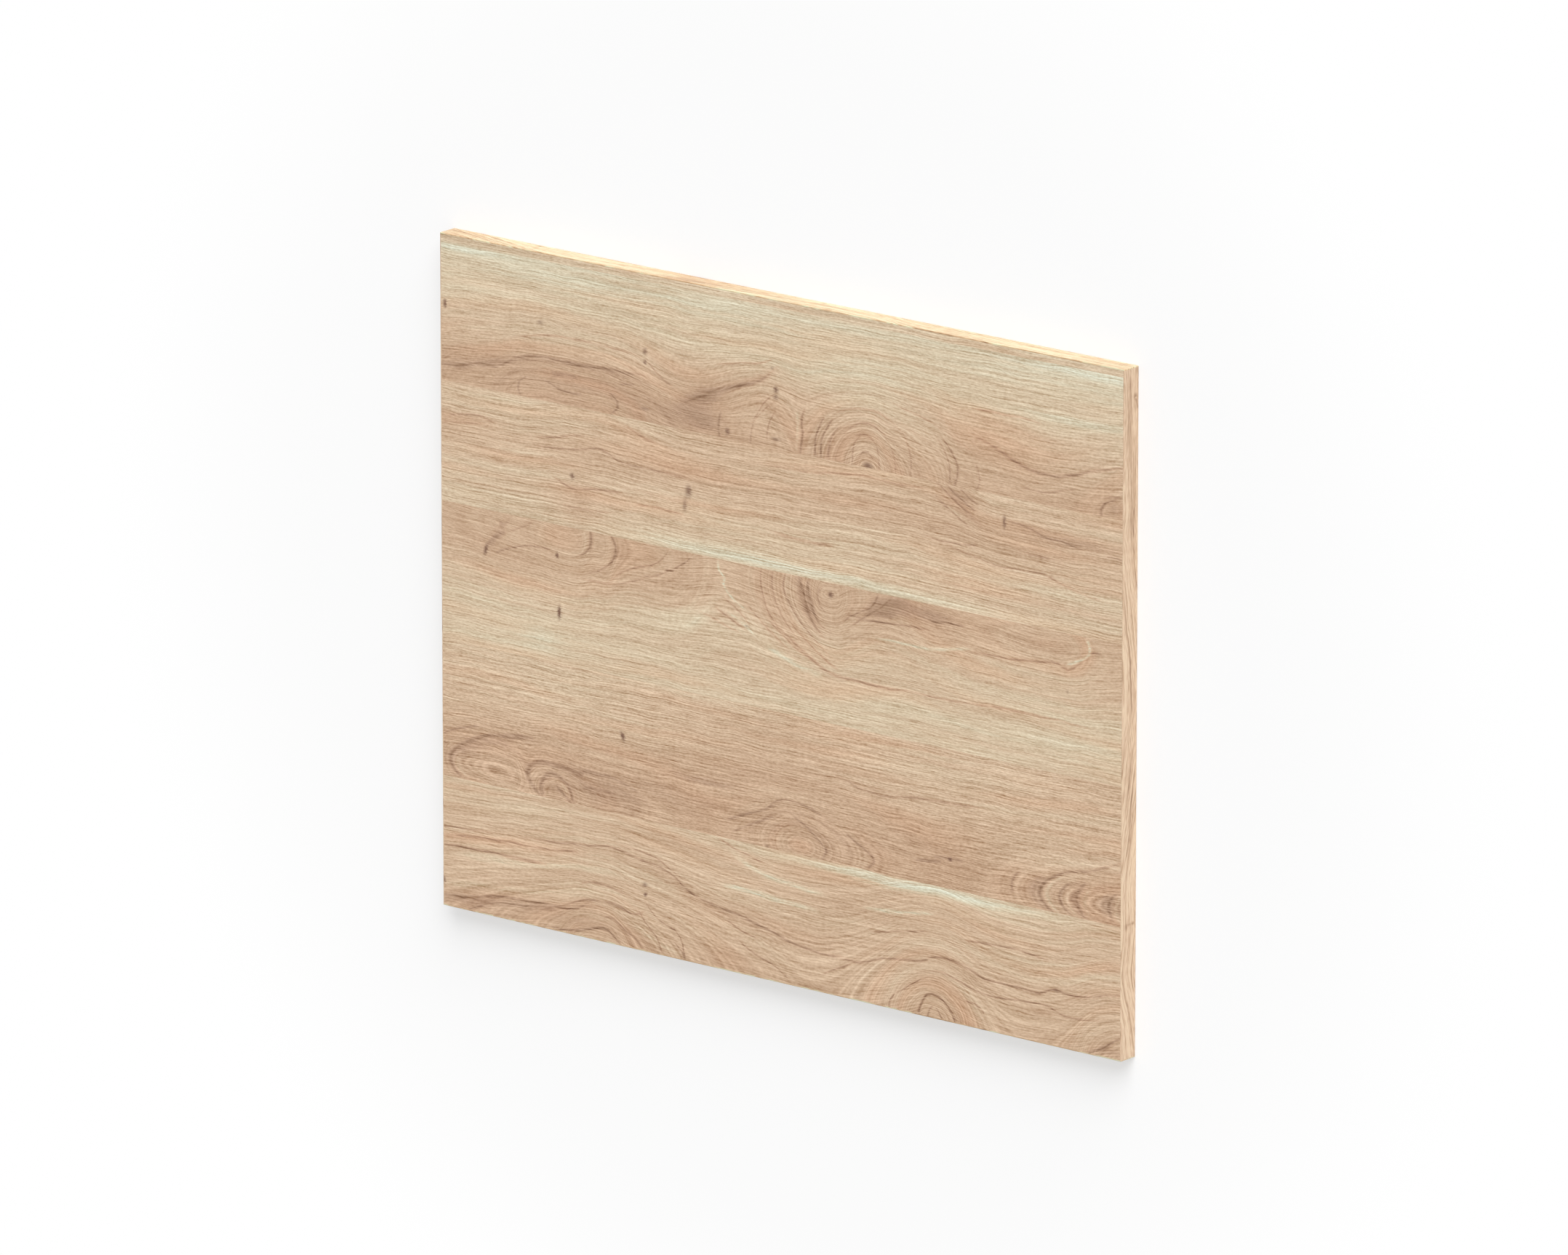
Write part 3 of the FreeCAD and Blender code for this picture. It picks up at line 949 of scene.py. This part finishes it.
@dataclass
class StavePrint:
    """The film over one stave, drawn layer by layer.

    The offset keeps its patterns apart from those of the other staves. The rings are places that follow
    the growth rings, and fibre, pores and flecks are noise along the grain, from long to short.
    """

    paint: Painter
    film: OakPrint
    ground: Ground
    stave: Stave
    offset: float
    rings: Feed = field(init=False)
    fibre: Feed = field(init=False)
    pores: Feed = field(init=False)
    flecks: Feed = field(init=False)

    def __post_init__(self) -> None:
        """Lay the grain that every other layer follows."""
        node, film, x = self.paint.node, self.film, self.ground.x
        fibre_y, ring_y = self.grain_places()
        self.rings = node("CombineXYZ", {"X": x, "Y": ring_y})
        # Each row of fibres starts somewhere else along the face, and so do each fibre's pores
        row = node("Math", {0: fibre_y, 1: film.row_width}, operation="DIVIDE")
        row = node("TexNoise", {"W": row, "Scale": 1, "Detail": 0}, noise_dimensions="1D")
        row_x = self.paint.swing(row, film.row_shift, x)
        self.fibre = self.paint.noise(node("CombineXYZ", {"X": row_x, "Y": fibre_y}), film.fibre)
        pore_x = node("Math", {0: self.fibre, 1: film.pore_shift, 2: x}, operation="MULTIPLY_ADD")
        self.pores = self.paint.noise(node("CombineXYZ", {"X": pore_x, "Y": fibre_y}), film.pore)
        self.flecks = self.paint.noise(node("CombineXYZ", {"X": x, "Y": fibre_y}), film.fleck)

    def fade(self, away: Feed, reach: float, power: float) -> Feed:
        """Fade from 1 at the pith to nothing.

        Args:
            away: distance from the pith, up or down the face.
            reach: distance at which most has faded.
            power: how sharply it ends there.

        Returns:
            The share that is left.
        """
        share = self.paint.node("Math", {0: away, 1: reach}, operation="DIVIDE")
        share = self.paint.node("Math", {0: share, 1: power}, operation="POWER")
        return self.paint.node("Math", {0: ONE_OVER_E, 1: share}, operation="POWER")

    def grain_places(self) -> tuple[Feed, Feed]:
        """Work out which fibre and which growth ring each point lies on.

        Returns:
            The fibre's place across the grain, and the ring's distance from the pith.
        """
        paint, node, ground, stave = self.paint, self.paint.node, self.ground, self.stave
        y = ground.y
        for twist in stave.twists:
            beside = node("Math", {0: ground.x, 1: twist.x}, operation="SUBTRACT")
            turned = node("Math", {0: beside, 1: paint.bell(ground.place, twist)}, operation="MULTIPLY")
            y = node("Math", {0: turned, 1: twist.strength, 2: y}, operation="MULTIPLY_ADD")
        away = paint.add_course(ground.x, stave.pith_height, ground.width, y, sense=-1)
        depth = paint.add_course(ground.x, stave.pith_depth, ground.width, 0.0)
        ring_fade = self.fade(away, stave.reach, RING_FADE_POWER)
        lean_fade = self.fade(away, stave.lean_reach, LEAN_FADE_POWER)
        behind = node("Math", {0: depth, 1: ring_fade}, operation="MULTIPLY")
        ring = node("VectorMath", {0: node("CombineXYZ", {"X": away, "Y": behind})}, operation="LENGTH")
        bend = node("Math", {0: depth, 1: lean_fade}, operation="MULTIPLY")
        fibre = node("Math", {0: bend, 1: stave.lean, 2: y}, operation="MULTIPLY_ADD")
        fibre_y = node("Math", {0: fibre, 1: self.offset}, operation="ADD")
        ring_y = node("Math", {0: ring, 1: self.offset}, operation="ADD")
        return fibre_y, ring_y

    def ragged(self, swing: float) -> tuple[Feed, Feed]:
        """Move places about by the finest grain, so that what is drawn at them has ragged edges.

        Args:
            swing: how far they move.

        Returns:
            Places along and down the face.
        """
        x = self.paint.swing(self.flecks, swing, self.ground.x)
        y = self.paint.swing(self.pores, swing, self.ground.y)
        return x, y

    def fine_grain(self) -> Feed:
        """Add up the fibres, pores, flecks and ring lines.

        Returns:
            Their sum in colour levels.
        """
        paint, node, film, stave = self.paint, self.paint.node, self.film, self.stave
        fine: Feed = film.fine_lift
        layers = ((self.fibre, film.fibre), (self.pores, film.pore), (self.flecks, film.fleck))
        for noise, grain in layers:
            fine = paint.swing(noise, grain.strength, fine)
        figure = paint.add_marks(self.ground.place, stave.eyes, stave.figure)
        lines = paint.swing(paint.noise(self.rings, film.ring_line), film.ring_line.strength, 0.0)
        fine = node("Math", {0: lines, 1: figure, 2: fine}, operation="MULTIPLY_ADD")
        dark = node("MapRange", {
            "Value": self.pores,
            "From Min": film.dark_pore_from,
            "From Max": film.dark_pore_to,
            "To Min": 0,
            "To Max": film.dark_pore,
        }, interpolation_type="SMOOTHSTEP")
        return node("Math", {0: fine, 1: dark}, operation="ADD")

    def broad_tone(self) -> Feed:
        """Add up the ring bands, the stave's own tones, its patches and its single rings.

        Returns:
            Their sum in colour levels.
        """
        paint, node, film, stave = self.paint, self.paint.node, self.film, self.stave
        tone: Feed = 0.0
        for grain in (film.ring_band, film.broad_band):
            tone = paint.swing(paint.noise(self.rings, grain), grain.strength, tone)
        streaky_y = paint.swing(self.fibre, film.streak, self.ground.y)
        streaky = node("CombineXYZ", {"X": self.ground.x, "Y": streaky_y})
        tone = paint.add_course(streaky_y, stave.tones, self.ground.height, tone)
        tone = paint.add_marks(streaky, stave.patches, tone)
        if stave.strokes:
            x, y = self.ragged(film.stroke_ragged)
            drawn = paint.strokes(x, y, stave.strokes, self.ground.width)
            broken = paint.swing(self.pores, -film.stroke_patchy, 1.0)
            tone = node("Math", {0: drawn, 1: broken, 2: tone}, operation="MULTIPLY_ADD")
        return tone

    def colour(self) -> Feed:
        """Print the stave: its broad tone, a flush here and there, the fine grain and the knots.

        Returns:
            The print's colour.
        """
        paint, node, film, stave = self.paint, self.paint.node, self.film, self.stave
        colour = paint.colours(self.broad_tone(), film.tones)
        flush = paint.noise(self.rings, film.flush_grain)
        flush = node("Math", {0: flush, 1: NOISE_MIDDLE}, operation="SUBTRACT")
        flush = node("Math", {0: flush, 1: film.flush_share}, operation="MULTIPLY", use_clamp=True)
        tinted = {MIX_SHARE: flush, MIX_FIRST: colour, MIX_SECOND: linear(film.flush)}
        colour = node("Mix", tinted, data_type="RGBA", blend_type="MULTIPLY")
        strong = tuple(level * stave.grain for level in film.fine_levels)
        even = (1.0,) * len(strong)
        gain = node("VectorMath", {0: self.fine_grain(), 1: strong, 2: even}, operation="MULTIPLY_ADD")
        colour = node("VectorMath", {0: colour, 1: gain}, operation="MULTIPLY")
        if stave.knots:
            x, y = self.ragged(film.knot_ragged)
            knots = paint.add_marks(node("CombineXYZ", {"X": x, "Y": y}), stave.knots, 0.0)
            knots = node("MapRange", {
                "Value": knots,
                "From Min": film.knot_from,
                "From Max": film.knot_to,
            }, interpolation_type="SMOOTHSTEP")
            pipped = {MIX_SHARE: knots, MIX_FIRST: colour, MIX_SECOND: linear(film.knot)}
            colour = node("Mix", pipped, data_type="RGBA")
        return colour

    def shader(self) -> bpy.types.Node:
        """Make the film's surface over the stave."""
        relief = self.paint.node("Math", {0: self.pores, 1: self.flecks}, operation="ADD")
        return self.paint.surface(self.film, self.colour(), self.pores, relief)


@dataclass
class FacedBoard:
    """The board under its decor film, with the film's finish. Its sizes are those of the whole panel."""

    width: float
    height: float
    thickness: float
    finish: OakPrint

    def ground(self, paint: Painter) -> Ground:
        """Work out where each point lies on the face.

        Args:
            paint: draws the film.

        Returns:
            The places that all staves share.
        """
        node = paint.node
        corner = (self.width / 2, self.height / 2, 0)
        per_mm = (1 / MM, -1 / MM, 0)
        position = node("TexCoord").outputs["Object"]
        flat = node("VectorMath", {0: position, 1: per_mm, 2: corner}, operation="MULTIPLY_ADD")
        height = node("SeparateXYZ", {"Vector": position}).outputs["Z"]
        front = node("Math", {0: height, 1: self.thickness / 2 * MM}, operation="GREATER_THAN")
        straight = node("SeparateXYZ", {"Vector": flat})
        x, straight_y = straight.outputs["X"], straight.outputs["Y"]
        y: Feed = straight_y
        for grain in (self.finish.wander, self.finish.jitter):
            y = paint.swing(paint.noise(flat, grain), grain.strength, y)
        place = node("CombineXYZ", {"X": x, "Y": y})
        return Ground(self.width, self.height, x, straight_y, y, place, front)

    def material(self) -> bpy.types.Material:
        """Make the film's material, stave by stave.

        Returns:
            The material, for the board's own slots.
        """
        film = self.finish
        made = bpy.data.materials.new(film.name)
        paint = Painter(made)
        node = paint.node
        ground = self.ground(paint)
        shaders = [
            StavePrint(paint, film, ground, stave, number * film.stave_offset).shader()
            for number, stave in enumerate(STAVES)
        ]
        surface = shaders[0]
        for stave, own in zip(STAVES[1:], shaders[1:]):
            below = node("Math", {0: ground.straight_y, 1: stave.top}, operation="GREATER_THAN")
            surface = node("MixShader", {0: below, 1: surface, 2: own})
        back = StavePrint(paint, film, ground, BACK_STAVE, -film.stave_offset).shader()
        surface = node("MixShader", {0: ground.front, 1: back, 2: surface})
        node("OutputMaterial", {"Surface": surface})
        return made

    def dress(self, piece: bpy.types.Object) -> None:
        """Give the board its film."""
        fill_slots(piece, self.material())


class GrainRun(Enum):
    """Which way the grain runs along an edging strip."""

    ACROSS = "across"
    UP = "up"


@dataclass
class EdgingStrips:
    """The strips on two facing edges of the board, cut from one print. Their grain runs one way."""

    run: GrainRun
    length: float
    thickness: float
    finish: OakEdging

    def places(self, paint: Painter) -> tuple[Feed, Feed]:
        """Work out where each point lies on its strip.

        Args:
            paint: draws the edging.

        Returns:
            Places along the strip and across it.
        """
        node = paint.node
        position = node("SeparateXYZ", {"Vector": node("TexCoord").outputs["Object"]}).outputs
        axis, sense = ("X", 1) if self.run is GrainRun.ACROSS else ("Y", -1)
        from_end = {0: position[axis], 1: sense / MM, 2: self.length / 2}
        from_face = {0: position["Z"], 1: -1 / MM, 2: self.thickness}
        along = node("Math", from_end, operation="MULTIPLY_ADD")
        across = node("Math", from_face, operation="MULTIPLY_ADD")
        return along, across

    def material(self) -> bpy.types.Material:
        """Make the edging's material.

        Returns:
            The material, for the strips' own slots.
        """
        film = self.finish
        made = bpy.data.materials.new(film.name)
        paint = Painter(made)
        node = paint.node
        along, across = self.places(paint)
        fibre = paint.add_course(along, film.lie, self.length, across, sense=-1)
        wander = paint.noise(node("CombineXYZ", {"X": along, "Y": across}), film.wander)
        fibre = paint.swing(wander, film.wander.strength, fibre)
        fibres = node("CombineXYZ", {"X": along, "Y": fibre})
        layers = [paint.noise(fibres, layer) for layer in film.layers]
        tone: Feed = 0.0
        for noise, layer in zip(layers, film.layers):
            tone = paint.swing(noise, layer.strength, tone)
        finest = layers[-1]
        ragged = paint.swing(finest, film.ragged, across)
        tone = paint.add_marks(node("CombineXYZ", {"X": along, "Y": ragged}), film.marks, tone)
        drawn = paint.strokes(along, ragged, film.strokes, self.length)
        tone = node("Math", {0: drawn, 1: tone}, operation="ADD")
        surface = paint.surface(film, paint.colours(tone, film.tones), finest, finest)
        node("OutputMaterial", {"Surface": surface})
        return made

    def dress(self, pieces: list[bpy.types.Object]) -> None:
        """Give the strips their edging print.

        Args:
            pieces: both strips.
        """
        made = self.material()
        for piece in pieces:
            fill_slots(piece, made)


@dataclass
class Studio:
    """A white floor and soft light: an even sky, and a broad key from the panel's rim and right side.

    Sizes are in metres, and the key's spread is in degrees.
    """

    floor_radius: float = 0.75
    floor_sides: int = 96
    floor_drop: float = 0.0002
    floor_colour: str = "#F7F7F7"
    floor_glow: float = 0.5
    glow_from: float = 0.45
    sky: float = 0.5
    key: float = 3.6
    key_spread: float = 50.0
    key_from: tuple[float, float, float] = (0.48, 0.9, 0.5)

    def floor_material(self) -> bpy.types.Material:
        """Make the floor's matt paper, which takes a soft shadow and turns to plain white at its rim.

        Returns:
            The material.
        """
        paper = bpy.data.materials.new("matt_white_backdrop_paper")
        paint = Painter(paper)
        node = paint.node
        out = node("VectorMath", {0: node("TexCoord").outputs["Object"]}, operation="LENGTH")
        share = node("MapRange", {
            "Value": out,
            "From Min": self.glow_from,
            "From Max": self.floor_radius,
            "To Min": self.floor_glow,
            "To Max": 1,
        }, interpolation_type="SMOOTHSTEP")
        share = node("Math", {0: self.seen_share(paint), 1: share}, operation="MULTIPLY")
        dull = node("BsdfDiffuse", {"Color": linear(self.floor_colour)})
        glow = node("Emission", {"Strength": 1.0})
        mixed = node("MixShader", {0: share, 1: dull, 2: glow})
        node("OutputMaterial", {"Surface": mixed})
        return paper

    def build_floor(self) -> bpy.types.Object:
        """Lay the floor, a disc whose rim meets the white world.

        Returns:
            The floor, which is stage and not part of the panel.
        """
        turns = [math.tau * side / self.floor_sides for side in range(self.floor_sides)]
        radius, drop = self.floor_radius, self.floor_drop
        rim = [(radius * math.cos(turn), radius * math.sin(turn), -drop) for turn in turns]
        mesh = bpy.data.meshes.new("studio_floor")
        mesh.from_pydata(rim, [], [tuple(range(self.floor_sides))])
        mesh.materials.append(self.floor_material())
        floor = bpy.data.objects.new("studio_floor", mesh)
        bpy.context.scene.collection.objects.link(floor)
        return floor

    def seen_share(self, paint: Painter) -> Feed:
        """Tell what is seen from what only lights the panel.

        Args:
            paint: draws the floor or the sky.

        Returns:
            1 for what the camera sees straight, in a gloss or through glass, and 0 for the light itself.
        """
        path = paint.node("LightPath").outputs
        seen = paint.node("Math", {0: path["Is Camera Ray"], 1: path["Is Glossy Ray"]}, operation="ADD")
        through = path["Is Transmission Ray"]
        return paint.node("Math", {0: seen, 1: through}, operation="ADD", use_clamp=True)

    def build_light(self) -> None:
        """Set the sky and hang the key light."""
        world = bpy.data.worlds.new("white_studio")
        bpy.context.scene.world = world
        paint = Painter(world)
        even = paint.node("Background", {"Color": WHITE, "Strength": self.sky})
        white = paint.node("Background", {"Color": WHITE, "Strength": 1.0})
        mixed = paint.node("MixShader", {0: self.seen_share(paint), 1: even, 2: white})
        paint.node("OutputWorld", {"Surface": mixed})
        lamp = bpy.data.lights.new("key", "SUN")
        lamp.energy = self.key
        lamp.angle = math.radians(self.key_spread)
        key = bpy.data.objects.new("key", lamp)
        key.rotation_mode = "QUATERNION"
        key.rotation_quaternion = Vector(self.key_from).to_track_quat("Z", "Y")
        bpy.context.scene.collection.objects.link(key)


@dataclass
class PhotoCamera:
    """The photo's view: a long lens that looks at the decor face from its right and from its rim edge.

    Angles are in degrees, the distance and the far clip in metres, and all else in millimetres.
    """

    to_right: float = 39.56
    to_rim: float = 15.15
    distance: float = 14.0
    far_clip: float = 140.0
    lens: float = 405.9
    sensor: float = 36.0
    aim_x: float = 7.3
    aim_y: float = 13.8
    face_height: float = 18.0

    def build(self) -> bpy.types.Object:
        """Set up the camera, upright when the panel's rim edge is up.

        Returns:
            The scene's camera.
        """
        right, rim = math.radians(self.to_right), math.radians(self.to_rim)
        level = math.cos(rim)
        towards = Vector((math.sin(right) * level, math.sin(rim), math.cos(right) * level))
        side = Vector((0, 1, 0)).cross(towards).normalized()
        turn = Matrix((side, towards.cross(side), towards)).transposed()
        data = bpy.data.cameras.new("photo_camera")
        data.lens = self.lens
        data.sensor_width = self.sensor
        data.clip_end = self.far_clip
        camera = bpy.data.objects.new("photo_camera", data)
        aim = Vector((self.aim_x, self.aim_y, self.face_height)) * MM
        camera.matrix_world = Matrix.Translation(aim + towards * self.distance) @ turn.to_4x4()
        bpy.context.scene.collection.objects.link(camera)
        bpy.context.scene.camera = camera
        return camera


def main() -> None:
    """Dress the panel, set the studio and the camera, and note the panel's size."""
    logging.basicConfig(level=logging.INFO, format="%(message)s")
    bpy.context.scene.view_settings.view_transform = "Standard"
    width, height, thickness = ((high - low) / MM for low, high in zip(*cad_box))
    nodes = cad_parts
    board = FacedBoard(width, height, thickness, OakPrint())
    board.dress(nodes["faced_board"])
    sizes = f"{width:.0f} x {height:.0f} x {thickness:.0f} mm"
    log.info("faced_board: %s, in %s", sizes, board.finish.name)
    sides = EdgingStrips(GrainRun.UP, height, thickness, SIDE_EDGING)
    rims = EdgingStrips(GrainRun.ACROSS, width, thickness, RIM_EDGING)
    for strips, places in ((sides, ("left", "right")), (rims, ("top", "bottom"))):
        names = [f"edge_strip_{place}" for place in places]
        strips.dress([nodes[name] for name in names])
        log.info("%s: grain %s, in %s", ", ".join(names), strips.run.value, strips.finish.name)
    studio = Studio()
    studio.build_floor()
    studio.build_light()
    PhotoCamera().build()
    log.info("studio and camera in place")


if __name__ == "__main__":
    main()
